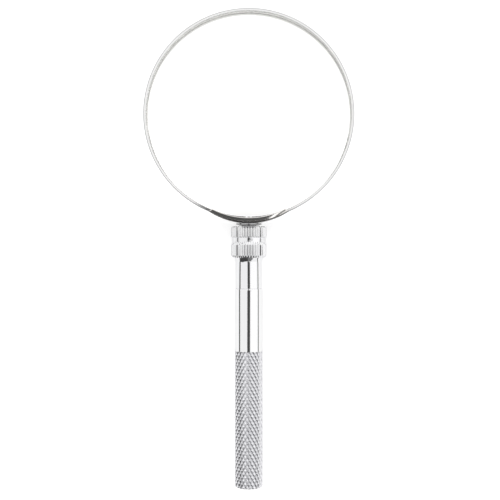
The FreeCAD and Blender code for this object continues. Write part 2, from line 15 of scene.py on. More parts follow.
import bmesh
import bpy
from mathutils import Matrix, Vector


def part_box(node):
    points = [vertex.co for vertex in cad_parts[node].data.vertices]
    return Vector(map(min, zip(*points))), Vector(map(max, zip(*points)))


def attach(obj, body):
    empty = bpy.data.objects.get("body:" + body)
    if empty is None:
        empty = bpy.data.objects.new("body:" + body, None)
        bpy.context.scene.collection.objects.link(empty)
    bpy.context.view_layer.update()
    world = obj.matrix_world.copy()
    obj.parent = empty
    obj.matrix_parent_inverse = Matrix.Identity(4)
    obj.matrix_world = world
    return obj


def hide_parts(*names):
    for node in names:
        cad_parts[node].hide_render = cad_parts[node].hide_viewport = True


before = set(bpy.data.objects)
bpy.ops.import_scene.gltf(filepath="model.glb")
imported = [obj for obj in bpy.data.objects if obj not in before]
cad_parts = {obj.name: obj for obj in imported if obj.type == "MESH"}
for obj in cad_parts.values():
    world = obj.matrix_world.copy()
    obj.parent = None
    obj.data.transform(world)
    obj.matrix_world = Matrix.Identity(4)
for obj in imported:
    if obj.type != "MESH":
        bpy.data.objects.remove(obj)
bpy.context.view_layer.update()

MM = 0.001

glass_low, glass_high = (Vector(corner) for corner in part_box("lens"))
lens_y = (glass_low.y + glass_high.y) / 2
axis_z = (glass_low.z + glass_high.z) / 2
print("middle of the glass at y", round(lens_y, 5), "height of the axis", round(axis_z, 5))


def down(distance):
    """World y of a place that many millimetres down the handle from the middle of the glass."""
    return lens_y - distance * MM


def span(node):
    """Where a part starts and ends down the handle, and its largest radius, in millimetres."""
    low, high = (Vector(corner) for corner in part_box(node))
    return (lens_y - high.y) / MM, (lens_y - low.y) / MM, (high.z - low.z) / 2 / MM


# %% [markdown]
# ## Shader and geometry maths written as Python
#
# A node graph for "a little rougher where the noise is high" takes five nodes and nine clicks.
# Written as `0.06 + 0.05 * noise` it takes one line. The class below wraps one output socket and
# overloads the arithmetic operators, so that an expression adds the Math nodes it needs. The
# reflected forms let a plain number stand on the left, as in `1 - mask`. A second class, the
# bench, holds one node tree and adds any other node by its type, settings and inputs.

# %% A socket that does arithmetic
class Wire:
    """One output socket. Arithmetic on it adds Math nodes to its tree."""

    def __init__(self, bench, socket):
        self.bench = bench
        self.socket = socket

    def maths(self, operation, first, second):
        inputs = {0: first, 1: second}
        return self.bench.add("ShaderNodeMath", {"operation": operation}, inputs)

    def __add__(self, other):
        return self.maths("ADD", self, other)

    def __radd__(self, other):
        return self.maths("ADD", other, self)

    def __sub__(self, other):
        return self.maths("SUBTRACT", self, other)

    def __rsub__(self, other):
        return self.maths("SUBTRACT", other, self)

    def __mul__(self, other):
        return self.maths("MULTIPLY", self, other)

    def __rmul__(self, other):
        return self.maths("MULTIPLY", other, self)

    def __truediv__(self, other):
        return self.maths("DIVIDE", self, other)

    def __pow__(self, other):
        return self.maths("POWER", self, other)


# %% A bench that adds any node
class Bench:
    """A node tree, and one method that adds a node to it and wires it up."""

    def __init__(self, tree):
        self.tree = tree

    def add(self, kind, settings=None, inputs=None, output=0):
        """Settings are made first, because they can change which sockets a node has."""
        node = self.tree.nodes.new(kind)
        for name, value in (settings or {}).items():
            setattr(node, name, value)
        for name, value in (inputs or {}).items():
            self.feed(node.inputs[name], value)
        return Wire(self, node.outputs[output]) if node.outputs else node

    def feed(self, socket, value):
        if isinstance(value, Wire):
            self.tree.links.new(value.socket, socket)
        else:
            socket.default_value = value

    def output(self, wire, place=1):
        """A second, third or later output socket of the same node."""
        return Wire(self, wire.socket.node.outputs[place])


# %% [markdown]
# ## Finishes
#
# Chrome plate is a mirror, so its look comes mostly from what it reflects. What tells a real
# plated part from a computed one is small: wiping leaves faint cloudy patches that are slightly
# rougher, polishing leaves hairlines finer than a hair, and thin plating looks a little warm in
# one place and cool in another. Each finish here is one function with the amounts as arguments,
# so every part of the object gets the same kind of detail in its own strength. All patterns read
# Object coordinates, in metres, so a scale of 1000 makes a feature of about a millimetre.

# %% A finish's starting point
def new_finish(name):
    """An empty material with a bench for its tree."""
    finish = bpy.data.materials.new(name)
    finish.use_nodes = True
    finish.node_tree.nodes.clear()
    return finish, Bench(finish.node_tree)


def close_finish(bench, inputs):
    """The surface's shader with these inputs, and the end of the material."""
    shader = bench.add("ShaderNodeBsdfPrincipled", None, inputs)
    bench.add("ShaderNodeOutputMaterial", None, {"Surface": shader})


def uneven(bench, strength, distance, height):
    """A surface normal that follows a height, as high as the distance in metres."""
    inputs = {"Strength": strength, "Distance": distance, "Height": height}
    return bench.add("ShaderNodeBump", None, inputs)


def cloud(bench, scale, detail=2.0, stretch=(1, 1, 1)):
    """Soft noise from 0 to 1 on Object coordinates, stretched along an axis if asked."""
    place = bench.add("ShaderNodeTexCoord", output=3)
    place = bench.add("ShaderNodeMapping", None, {"Vector": place, "Scale": stretch})
    inputs = {"Vector": place, "Scale": scale, "Detail": detail, "Roughness": 0.55}
    return bench.add("ShaderNodeTexNoise", None, inputs)


def tint(bench, amount, low, high):
    """A colour between two, by an amount from 0 to 1. Any of the three may be a wire."""
    inputs = {0: amount, 6: low, 7: high}
    for place, value in inputs.items():
        if isinstance(value, tuple):
            inputs[place] = (*value, 1)
    return bench.add("ShaderNodeMix", {"data_type": "RGBA"}, inputs, output=2)


def ease(bench, value, low, high):
    """0 below low, 1 above high, and a soft step between."""
    settings = {"interpolation_type": "SMOOTHSTEP"}
    inputs = {"Value": value, "From Min": low, "From Max": high}
    return bench.add("ShaderNodeMapRange", settings, inputs)


def coordinates(bench):
    """World x, y and z, in metres, at each point of a surface."""
    place = bench.add("ShaderNodeTexCoord", output=3)
    across = bench.add("ShaderNodeSeparateXYZ", None, {"Vector": place})
    return across, bench.output(across, 1), bench.output(across, 2)


def off_axis(first, second):
    """Distance from an axis, by the offsets from it in two directions."""
    return (first * first + second * second) ** 0.5


def about_the_handle(bench):
    """World y, and the distance from the handle's axis, at each point of a surface."""
    across, along, height = coordinates(bench)
    return along, off_axis(across, height - axis_z)


# %% Polished and plated metal
# The grey that painted shade darkens a metal towards, unless the part gives its own.
shade_grey = (0.20, 0.20, 0.205)


def plated_metal(
    name, low, high, rough, haze, hairline, stretch=(1, 1, 1), painted_shade=None, shade_colour=shade_grey
):
    """Metal that varies between two tones, hazy in patches, with hairlines along one direction.

    Painted shade is a function that gives the places painted darker and rougher as shade, from 0 to
    1.
    """
    finish, bench = new_finish(name)
    patches = cloud(bench, 130.0, 3.0)
    smear = cloud(bench, 620.0, 4.0)
    lines = cloud(bench, 2600.0, 2.0, stretch)
    colour = tint(bench, patches, low, high)
    roughness = rough + haze * (patches ** 2.0) + haze * 0.6 * (smear ** 3.0) + 0.02 * lines
    if painted_shade is not None:
        # Painted shade: the shaded places are painted darker and made a little rougher.
        shaded = painted_shade(bench) * (0.7 + 0.5 * smear)
        colour = tint(bench, shaded, colour, shade_colour)
        roughness = roughness + 0.12 * shaded
    bump = uneven(bench, hairline, 0.02 * MM, 0.6 * lines + 0.4 * smear)
    inputs = {"Base Color": colour, "Metallic": 1.0, "Roughness": roughness, "Normal": bump}
    close_finish(bench, inputs)
    return finish


def band_shade(bench):
    """Painted shade: the band's outer wall is painted darker, and a little rougher, out to its
    rounded edges.
    """
    across, along, _ = coordinates(bench)
    reach = off_axis(across, along - lens_y)
    return 0.68 * ease(bench, reach, 37.64 * MM, 37.82 * MM)


band_chrome = plated_metal(
    "band_chrome",
    (0.86, 0.86, 0.86),
    (0.92, 0.92, 0.91),
    rough=0.05,
    haze=0.06,
    hairline=0.05,
    painted_shade=band_shade,
    # Painted shade: the grey that the band's outer wall is darkened towards.
    shade_colour=(0.36, 0.36, 0.37),
)
tube_chrome = plated_metal(
    "tube_chrome", (0.90, 0.90, 0.91), (0.94, 0.94, 0.94), 0.03, 0.03, 0.03, (1, 0.05, 1)
)


def crescent_shade(bench):
    """Painted shade: all of the crescent but its two faces is painted near black.

    Its narrow sides, its channel and the rounded edge along its outside are painted as shade. The
    outside is an arc of radius 26.6 mm about a point 12.8 mm down from the glass's middle.
    """
    across, along, height = coordinates(bench)
    height = height - axis_z
    polished = ease(bench, (height * height) ** 0.5, 3.75 * MM, 4.02 * MM)
    reach = off_axis(across, along - down(12.8))
    inside = 1 - ease(bench, reach, 26.20 * MM, 26.42 * MM)
    return 0.95 * (1 - polished * inside)


def nut_shade(bench):
    """Painted shade on the nut's front near the band's split, above and below the neck.

    The nose in front of the ribs is painted darker all round, as shade, and the grooves a little.
    """
    across, along, height = coordinates(bench)
    reach = off_axis(across, height - axis_z)
    near_split = 1 - ease(bench, (across * across) ** 0.5, 1.6 * MM, 3.2 * MM)
    grooves = 1 - ease(bench, reach, 6.1 * MM, 6.45 * MM)
    front = ease(bench, along, down(41.45), down(41.1))
    nose = 1 - ease(bench, reach, 4.0 * MM, 4.4 * MM)
    return 0.06 * grooves + (0.55 + 0.4 * grooves) * front * near_split + 0.5 * nose


def ferrule_shade(bench):
    """Painted shade in the grooves of the ribbed ring only. The shoulder and the taper get none."""
    along, reach = about_the_handle(bench)
    grooves = 1 - ease(bench, reach, 6.10 * MM, 6.45 * MM)
    ring = ease(bench, reach, 5.75 * MM, 5.95 * MM) * (1 - ease(bench, along, down(47.4), down(46.6)))
    return 0.06 * grooves * ring


def grip_shade(bench):
    """Painted shade in the crossing grooves of the grip."""
    _, reach = about_the_handle(bench)
    return 0.34 * (1 - ease(bench, reach, 4.72 * MM, 4.98 * MM))


crescent_chrome = plated_metal(
    "crescent_chrome",
    (0.76, 0.74, 0.71),
    (0.88, 0.87, 0.85),
    rough=0.03,
    haze=0.04,
    hairline=0.05,
    painted_shade=crescent_shade,
    # Painted shade: the near black of the crescent's sides, channel and outer edge.
    shade_colour=(0.045, 0.040, 0.036),
)
ring_chrome = plated_metal(
    "ring_chrome", (0.38, 0.38, 0.39), (0.50, 0.50, 0.50), 0.14, 0.08, 0.10
)
nut_chrome = plated_metal(
    # Painted shade on the nut's front, its nose and its grooves, in the default grey.
    "nut_chrome", (0.84, 0.84, 0.85), (0.91, 0.91, 0.91), 0.07, 0.05, 0.06, painted_shade=nut_shade
)
ferrule_chrome = plated_metal(
    # Painted shade in the ribbed ring's grooves.
    "ferrule_chrome", (0.88, 0.88, 0.90), (0.93, 0.93, 0.93), 0.04, 0.04, 0.04, painted_shade=ferrule_shade
)
grip_chrome = plated_metal(
    # Painted shade in the grip's crossing grooves.
    "grip_chrome", (0.86, 0.86, 0.89), (0.93, 0.93, 0.95), 0.25, 0.08, 0.08, painted_shade=grip_shade
)
turned_steel = plated_metal(
    "turned_steel", (0.52, 0.52, 0.53), (0.62, 0.61, 0.60), 0.20, 0.12, 0.25, (0.1, 1, 0.1)
)
collet_brass = plated_metal(
    "collet_brass", (0.66, 0.47, 0.20), (0.78, 0.58, 0.28), 0.22, 0.14, 0.25, (0.1, 1, 0.1)
)
print("metal finishes:", len(bpy.data.materials))


# %% [markdown]
# ## Glass, and the clear strip round its edge
#
# Real glass is never blank: it carries a faint cast and the last trace of a wiping cloth. The
# transmission, the index and the low roughness are constants on the shader's own sockets, and
# only the colour and a very weak bump vary, so that the picture behind the glass stays clean. The
# strip that beds the glass in the band is soft clear plastic, seen only as a pale edge.

# %% Glass and bedding
def clear_glass():
    finish, bench = new_finish("lens_glass")
    colour = tint(bench, cloud(bench, 40.0), (0.996, 0.996, 0.984), (1.0, 0.999, 0.992))
    wiped = cloud(bench, 300.0, 2.0, (1, 0.3, 1))
    bump = uneven(bench, 0.01, 0.01 * MM, wiped)
    inputs = {"Base Color": colour, "Roughness": 0.0, "IOR": 1.52, "Normal": bump}
    inputs["Transmission Weight"] = 1.0
    close_finish(bench, inputs)
    return finish


def soft_plastic():
    """Clear, but the thin inner edge of its back leg, under the glass, is coloured grey."""
    finish, bench = new_finish("clear_packing")
    patches = cloud(bench, 500.0, 3.0)
    across, along, height = coordinates(bench)
    along = along - lens_y
    inner_edge = 1 - ease(bench, off_axis(across, along), 36.85 * MM, 37.1 * MM)
    back_half = 1 - ease(bench, height - axis_z, -1.0 * MM, 0.0)
    clear_of_crescent = ease(bench, along, -33 * MM, -28 * MM)
    edge = inner_edge * back_half * clear_of_crescent
    clear = tint(bench, patches, (0.94, 0.94, 0.92), (0.98, 0.98, 0.97))
    inputs = {
        "Base Color": tint(bench, edge, clear, (0.74, 0.74, 0.73)),
        "Roughness": 0.1,
        "IOR": 1.42,
        "Transmission Weight": 0.9,
        "Normal": uneven(bench, 0.2, 0.03 * MM, patches),
    }
    close_finish(bench, inputs)
    return finish


lens_glass = clear_glass()
clear_packing = soft_plastic()


# %% [markdown]
# ## Helpers for turned parts
#
# A turned part is one outline, its profile, swept round an axis. On a real lathe no edge is
# perfectly sharp, and a computed mirror looks false where two faces meet at a knife edge, because
# nothing there catches the light. So a profile is given as a few corners, each with the radius it
# is broken by, and a helper puts a small arc in its place. Beside each arc it adds a guard point,
# which keeps the smooth shading of the arc from spreading over the flat next to it.

# %% Break the corners of a profile
def broken(corners, steps=4):
    """A closed outline from corners (a, b, radius), each replaced by an arc of that radius."""
    points = []
    count = len(corners)
    for index, (a, b, radius) in enumerate(corners):
        here = Vector((a, b))
        back = Vector(corners[index - 1][:2]) - here
        ahead = Vector(corners[(index + 1) % count][:2]) - here
        if radius <= 0:
            points.append((a, b))
            continue
        half = back.angle(ahead) / 2
        room = 0.45 * min(back.length, ahead.length)
        reach = min(radius / math.tan(half), room)
        bend = reach * math.tan(half)
        back.normalize()
        ahead.normalize()
        centre = here + (back + ahead).normalized() * (bend / math.sin(half))
        start = here + back * reach - centre
        finish = here + ahead * reach - centre
        if room > reach * 1.3:
            points.append(tuple(here + back * reach * 1.3))
        for step in range(steps + 1):
            swing = start.slerp(finish, step / steps).normalized()
            points.append(tuple(centre + swing * bend))
        if room > reach * 1.3:
            points.append(tuple(here + ahead * reach * 1.3))
    return points


# %% Turn points and faces into a piece
def make_piece(name, points, faces, finish, sharp=None):
    """A mesh object with smooth shading. Doubles are merged and the faces made to point out."""
    mesh = bpy.data.meshes.new(name)
    mesh.from_pydata([tuple(point) for point in points], [], faces)
    work = bmesh.new()
    work.from_mesh(mesh)
    bmesh.ops.remove_doubles(work, verts=work.verts, dist=1e-7)
    bmesh.ops.dissolve_degenerate(work, edges=work.edges, dist=1e-8)
    bmesh.ops.recalc_face_normals(work, faces=work.faces)
    work.to_mesh(mesh)
    work.free()
    for face in mesh.polygons:
        face.use_smooth = True
    if sharp is not None:
        mesh.set_sharp_from_angle(angle=math.radians(sharp))
    mesh.materials.append(finish)
    piece = bpy.data.objects.new(name, mesh)
    bpy.context.scene.collection.objects.link(piece)
    return piece


def report(piece):
    """Prints a piece's size, and whether its surface is closed."""
    mesh = piece.data
    work = bmesh.new()
    work.from_mesh(mesh)
    open_edges = sum(1 for edge in work.edges if not edge.is_manifold)
    volume = work.calc_volume(signed=True)
    work.free()
    size = [round(side / MM, 2) for side in piece.dimensions]
    mesh.calc_loop_triangles()
    count = len(mesh.loop_triangles)
    print(piece.name, size, "mm,", count, "triangles, open edges", open_edges, end=", ")
    print("faces out" if volume > 0 else "FACES IN")


# %% Spin an outline
def spin_faces(rings, points_round, closed_round=True):
    """Quads between neighbouring rings. The outline itself is closed."""
    faces = []
    turns = rings if closed_round else rings - 1
    for ring in range(turns):
        here = ring * points_round
        ahead = (ring + 1) % rings * points_round
        for index in range(points_round):
            beside = (index + 1) % points_round
            faces.append((here + index, here + beside, ahead + beside, ahead + index))
    return faces


def turned(name, corners, finish, segments=192):
    """A part turned on the handle's axis. Corners are (millimetres down, radius, broken by)."""
    outline = broken(corners)
    points = []
    for segment in range(segments):
        angle = 2 * math.pi * segment / segments
        for distance, radius in outline:
            side = radius * MM * math.sin(angle)
            height = axis_z + radius * MM * math.cos(angle)
            points.append((side, down(distance), height))
    return make_piece(name, points, spin_faces(segments, len(outline)), finish)


# %% [markdown]
# ## The glass: a shape that follows a rule
#
# A lens is the cleanest case for Geometry Nodes. Both faces are parts of a large ball, so the
# height of a point depends only on how far it is from the middle: the square root of the ball's
# radius squared less that distance squared. The tree starts from a disc with many rings, and one
# Set Position applies the rule. Changing one input makes a stronger or a weaker lens.

# %% Start a geometry tree
def geometry_tree(name, sizes):
    """A geometry tree with a Geometry input, a Material input and the named sizes."""
    tree = bpy.data.node_groups.new(name, "GeometryNodeTree")
    sockets = tree.interface
    sockets.new_socket("Geometry", in_out="INPUT", socket_type="NodeSocketGeometry")
    for size, kind in sizes.items():
        sockets.new_socket(size, in_out="INPUT", socket_type="NodeSocket" + kind)
    sockets.new_socket("Material", in_out="INPUT", socket_type="NodeSocketMaterial")
    sockets.new_socket("Geometry", in_out="OUTPUT", socket_type="NodeSocketGeometry")
    bench = Bench(tree)
    entry = tree.nodes.new("NodeGroupInput")
    given = {item.name: Wire(bench, item) for item in entry.outputs if item.name}
    return tree, bench, given


def finish_tree(bench, geometry, material):
    """Realize Instances, then Set Material, then out."""
    geometry = bench.add("GeometryNodeRealizeInstances", None, {"Geometry": geometry})
    inputs = {"Geometry": geometry, "Material": material}
    geometry = bench.add("GeometryNodeSetMaterial", None, inputs)
    bench.add("NodeGroupOutput", None, {"Geometry": geometry})


def grow(name, tree, values, seed_mesh=None):
    """Runs a tree on a mesh with these input values, and returns the result as a plain mesh."""
    seed = seed_mesh or bpy.data.meshes.new(name + "_seed")
    holder = bpy.data.objects.new(name + "_holder", seed)
    modifier = holder.modifiers.new("Grow", "NODES")
    modifier.node_group = tree
    for item in tree.interface.items_tree:
        if item.in_out == "INPUT" and item.name in values:
            modifier[item.identifier] = values[item.name]
    bpy.context.scene.collection.objects.link(holder)
    graph = bpy.context.evaluated_depsgraph_get()
    mesh = bpy.data.meshes.new_from_object(holder.evaluated_get(graph), depsgraph=graph)
    holder.modifiers.remove(modifier)
    bpy.data.objects.remove(holder)
    mesh.name = name
    return mesh


# %% The lens rule
def lens_tree():
    sizes = {"Edge radius": "Float", "Edge thickness": "Float", "Ball radius": "Float"}
    sizes.update({"Centre": "Vector", "Round": "Int", "Rings": "Int"})
    tree, bench, given = geometry_tree("Biconvex lens", sizes)
    disc = bench.add(
        "GeometryNodeMeshCylinder",
        {"fill_type": "TRIANGLE_FAN"},
        {
            "Vertices": given["Round"],
            "Side Segments": 4,
            "Fill Segments": given["Rings"],
            "Radius": given["Edge radius"],
            "Depth": given["Edge thickness"],
        },
    )
    place = bench.add("GeometryNodeInputPosition")
    split = bench.add("ShaderNodeSeparateXYZ", None, {"Vector": place})
    across, along, height = split, bench.output(split, 1), bench.output(split, 2)
    ball = given["Ball radius"] * given["Ball radius"]
    edge = given["Edge radius"] * given["Edge radius"]
    rise = (ball - across * across - along * along) ** 0.5 - (ball - edge) ** 0.5
    side = height / (given["Edge thickness"] * 0.5)
    lift = bench.add("ShaderNodeCombineXYZ", None, {"Z": rise * side})
    shifted = bench.add("ShaderNodeVectorMath", {"operation": "ADD"}, {0: lift, 1: given["Centre"]})
    solid = bench.add("GeometryNodeSetPosition", None, {"Geometry": disc, "Offset": shifted})
    finish_tree(bench, solid, given["Material"])
    return tree


# %% Grow the glass
glass_radius = (glass_high.x - glass_low.x) / 2
glass_middle = glass_high.z - glass_low.z
glass_edge = 3.2 * MM
bulge = (glass_middle - glass_edge) / 2
ball_radius = (glass_radius**2 + bulge**2) / (2 * bulge)
values = {
    "Edge radius": glass_radius,
    "Edge thickness": glass_edge,
    "Ball radius": ball_radius,
    "Centre": (0.0, lens_y, axis_z),
    "Round": 192,
    "Rings": 40,
    "Material": lens_glass,
}
glass_mesh = grow("glass", lens_tree(), values)


def piece_from(name, mesh, finish, sharp=None):
    """A piece from a grown mesh: merged, closed, smooth, with one finish."""
    points = [vertex.co.copy() for vertex in mesh.vertices]
    faces = [tuple(face.vertices) for face in mesh.polygons]
    bpy.data.meshes.remove(mesh)
    return make_piece(name, points, faces, finish, sharp)


glass = piece_from("glass_disc", glass_mesh, lens_glass, sharp=40)
print("each face of the glass is part of a ball of radius", round(ball_radius / MM, 1), "mm")
report(glass)
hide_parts("lens")
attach(glass, "head")


# %% [markdown]
# ## The bedding strip and the chromed band
#
# The band is rolled from thin strip: an upright wall with a lip turned in at the front and the
# back to hold the glass. It is split under the crescent, where its two ends turn down as lugs that
# a pin holds in the neck. The section is swept round an arc that stops short of the split. It
# could be a full ring with a piece cut out, but an arc with two capped ends gives cleaner faces.

# %% Sweep a section round the glass
def round_the_glass(name, corners, finish, gap=0.0, segments=256):
    """A ring about the optical axis. Corners are (radius, height from the middle, broken by)."""
    outline = broken(corners)
    closed = gap <= 0
    half_gap = 0.0 if closed else math.asin(gap / corners[0][0])
    rings = segments if closed else segments + 1
    points = []
    for ring in range(rings):
        part = ring / segments
        angle = -math.pi / 2 + half_gap + part * (2 * math.pi - 2 * half_gap)
        for radius, height in outline:
            x = radius * MM * math.cos(angle)
            y = lens_y + radius * MM * math.sin(angle)
            points.append((x, y, axis_z + height * MM))
    faces = spin_faces(rings, len(outline), closed)
    if not closed:
        faces.append(tuple(range(len(outline))))
        faces.append(tuple(range(segments * len(outline), rings * len(outline))))
    return make_piece(name, points, faces, finish)


packing_low, packing_high = (Vector(corner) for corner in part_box("lens_packing"))
strip_play = 0.02
strip_radius = packing_high.x / MM - strip_play
strip_half = (packing_high.z - packing_low.z) / 2 / MM - strip_play
seat_radius = 37.17
seat_half = glass_edge / 2 / MM + 0.05
front_leg_radius = 37.0
back_leg_radius = 36.63
back_leg_sag = 0.33
strip = round_the_glass(
    "bedding_strip",
    [
        (strip_radius, -strip_half, 0.05),
        (strip_radius, strip_half, 0.05),
        (front_leg_radius, strip_half, 0.08),
        (front_leg_radius, seat_half, 0.03),
        (seat_radius, seat_half, 0.0),
        (seat_radius, -seat_half, 0.0),
        (back_leg_radius, -seat_half - 0.08, 0.03),
        (back_leg_radius, -strip_half, 0.2),
    ],
    clear_packing,
)

# The strip's back leg has crept towards the split in the band, so it is wider at the far side.
for vertex in strip.data.vertices:
    reach = math.hypot(vertex.co.x, vertex.co.y - lens_y) / MM
    if reach < back_leg_radius + 0.25 and vertex.co.z < axis_z - seat_half * MM:
        vertex.co.y -= back_leg_sag * MM
report(strip)
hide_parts("lens_packing")
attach(strip, "head")

# %% The band's section
band_low, band_high = (Vector(corner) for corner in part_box("rim_band"))
band_radius = band_high.x / MM
band_half = (band_high.z - band_low.z) / 2 / MM
band_wall = 0.5
lip_depth = 0.42
lip_thick = 0.4
wall_radius = band_radius - band_wall
lip_radius = wall_radius - lip_depth
split_half = 0.3
band = round_the_glass(
    "band_ring",
    [
        (band_radius, -band_half, 0.16),
        (band_radius, band_half, 0.16),
        (lip_radius, band_half, 0.05),
        (lip_radius, band_half - lip_thick, 0.05),
        (wall_radius, band_half - lip_thick, 0.05),
        (wall_radius, lip_thick - band_half, 0.05),
        (lip_radius, lip_thick - band_half, 0.08),
        (lip_radius, -band_half, 0.14),
    ],
    band_chrome,
    gap=split_half,
)
report(band)


# %% The two closing lugs
def block(name, low, high, finish, edge=0.06 * MM):
    """A bar with every edge broken, from its two corners."""
    work = bmesh.new()
    bmesh.ops.create_cube(work, size=1.0)
    middle = (Vector(low) + Vector(high)) / 2
    size = Vector(high) - Vector(low)
    for vertex in work.verts:
        vertex.co = Vector(a * b for a, b in zip(vertex.co, size)) + middle
    bmesh.ops.bevel(work, geom=work.edges[:], offset=edge, segments=3, affect="EDGES")
    points = [vertex.co.copy() for vertex in work.verts]
    faces = [tuple(vertex.index for vertex in face.verts) for face in work.faces]
    work.free()
    return make_piece(name, points, faces, finish)


lug_thick = 0.6
lug_half = 1.6
for side in (-1, 1):
    near, far = sorted((side * split_half * MM, side * (split_half + lug_thick) * MM))
    low = (near, band_low.y, axis_z - lug_half * MM)
    high = (far, down(wall_radius + 0.2), axis_z + lug_half * MM)
    lug = block("band_lug_left" if side < 0 else "band_lug_right", low, high, band_chrome)
    report(lug)
    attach(lug, "head")
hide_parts("rim_band")
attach(band, "head")


# %% [markdown]
# ## The crescent
#
# The crescent straddles the band like a saddle: a cheek in front, a cheek behind, and a solid
# back between them that narrows to nothing at the tips. Its section is therefore a C that changes
# along its length, so it is swept station by station from one tip to the other. Hand polishing
# leaves its faces very slightly crowned and uneven, and that unevenness is what breaks up the
# reflections on it. Both are built into the mesh, by hundredths of a millimetre.

# %% The crescent's outline at one station
crescent_low, crescent_high = (Vector(corner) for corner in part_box("saddle"))
crescent_half = (crescent_high.z - crescent_low.z) / 2 / MM
outer_tip = crescent_high.x / MM
inner_tip = 13.0
outer_arc, outer_middle = 26.6, 39.4
inner_arc, inner_middle = 29.67, 37.4
channel_radius = 38.02
channel_half = 3.42
thinnest_back = 0.03
crown_rate = 0.008
wave_height = 0.012


def arc_drop(arc, middle, x):
    """Distance below the glass's middle of an arc's point at a sideways place."""
    return middle - arc + math.sqrt(arc * arc - x * x)


def crescent_section(part):
    """The C-shaped section at a station, part from -1 to 1, as points in millimetres."""
    outer = Vector((outer_tip * part, arc_drop(outer_arc, outer_middle, outer_tip * part)))
    inner = Vector((inner_tip * part, arc_drop(inner_arc, inner_middle, inner_tip * part)))
    ahead = (outer - inner).normalized()
    width = (outer - inner).length
    wall = (channel_radius - inner.length) / max(ahead.dot(outer.normalized()), 0.2)
    wall = min(wall, width - thinnest_back)
    corners = [
        (width, -crescent_half, 0.3),
        (width, crescent_half, 0.3),
        (0.0, crescent_half, 0.22),
        (0.0, channel_half, 0.1),
        (wall, channel_half, 0.02),
        (wall, -channel_half, 0.02),
        (0.0, -channel_half, 0.1),
        (0.0, -crescent_half, 0.22),
    ]
    points = []
    for along, height in broken(corners):
        x, drop = inner + ahead * along
        crown = crown_rate * width**2 * (2 * along / width - 1) ** 2 * abs(height) / crescent_half
        wave = wave_height * math.sin(x * 0.45 + 0.6) * (abs(height) / crescent_half)
        height -= math.copysign(crown + wave_height + wave, height)
        points.append((x * MM, down(drop), axis_z + height * MM))
    return points


# %% Sweep the crescent
stations = 97
points = []
for station in range(stations):
    points.extend(crescent_section(2 * station / (stations - 1) - 1))
round_count = len(points) // stations
faces = spin_faces(stations, round_count, closed_round=False)
faces.append(tuple(range(round_count)))
faces.append(tuple(range((stations - 1) * round_count, stations * round_count)))
crescent = make_piece("crescent", points, faces, crescent_chrome)
report(crescent)
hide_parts("saddle")
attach(crescent, "head")


# %% [markdown]
# ## The washer under the crescent
#
# A thin polished disc turns freely on the neck. It keeps the nut from rubbing on the crescent.

# %% The washer
washer_start, washer_end, washer_radius = span("neck_washer")
washer_bore = 2.55
washer = turned(
    "neck_disc",
    [
        (washer_start, washer_bore, 0.08),
        (washer_start, washer_radius, 0.16),
        (washer_end, washer_radius, 0.16),
        (washer_end, washer_bore, 0.08),
    ],
    ring_chrome,
)
report(washer)
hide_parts("neck_washer")
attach(washer, "washer")


# %% [markdown]
# ## Straight knurling, one sector at a time
#
# The two rings carry forty ribs pressed in by a knurling wheel. The ribs could be separate bars
# stuck on a plain ring, but then a seam shows at each rib and none of them can fade out. Here one
# fortieth of the whole part is modelled, with half a groove at each side and a crest in the
# middle. A small tree sets forty copies round the axis, each turned a little more, and they are
# welded when they become a piece. The groove is cut only where the outline stands high enough, so
# the ribs run out on the bevels and on the shoulder just as real ones do.

# %% The tree that repeats a sector round the axis
def ring_tree():
    """Copies of a sector round the handle, after a marked stretch of it is repeated in rows."""
    sizes = {"Copies": "Int", "Rows": "Int", "Row step": "Float", "Axis height": "Float"}
    tree, bench, given = geometry_tree("Sectors round an axis", sizes)
    marked = bench.add(
        "GeometryNodeInputNamedAttribute", {"data_type": "BOOLEAN"}, {"Name": "in_rows"}
    )
    parted = bench.add(
        "GeometryNodeSeparateGeometry",
        {"domain": "FACE"},
        {"Geometry": given["Geometry"], "Selection": marked},
    )
    step = bench.add("ShaderNodeCombineXYZ", None, {"Y": given["Row step"] * -1.0})
    line = bench.add("GeometryNodeMeshLine", None, {"Count": given["Rows"], "Offset": step})
    rows = bench.add("GeometryNodeInstanceOnPoints", None, {"Points": line, "Instance": parted})
    joined = bench.add("GeometryNodeJoinGeometry", None, {"Geometry": rows})
    plain = bench.output(parted, 1)
    bench.tree.links.new(plain.socket, joined.socket.node.inputs["Geometry"])
    sector = bench.add("GeometryNodeRealizeInstances", None, {"Geometry": joined})
    axis = bench.add("ShaderNodeCombineXYZ", None, {"Z": given["Axis height"]})
    places = bench.add(
        "GeometryNodeMeshLine",
        None,
        {"Count": given["Copies"], "Start Location": axis, "Offset": (0, 0, 0)},
    )
    number = bench.add("GeometryNodeInputIndex")
    turn = bench.add("ShaderNodeCombineXYZ", None, {"Y": number * (2 * math.pi) / given["Copies"]})
    round_bar = bench.add(
        "GeometryNodeInstanceOnPoints",
        None,
        {"Points": places, "Instance": sector, "Rotation": turn},
    )
    finish_tree(bench, round_bar, given["Material"])
    return tree


sector_ring = ring_tree()


# %% Model one sector of a knurled part
rib_count = 40
groove_depth = 0.34
rib_samples = [(0.0, 0.0), (0.14, 0.0), (0.22, 0.16), (0.4, 0.75), (0.44, 0.87), (0.5, 1.0)]


def rib_profile():
    """Places across one sector, from -0.5 to 0.5, with how deep the groove is at each."""
    left = [(-place, depth) for place, depth in reversed(rib_samples[1:])]
    return left + rib_samples


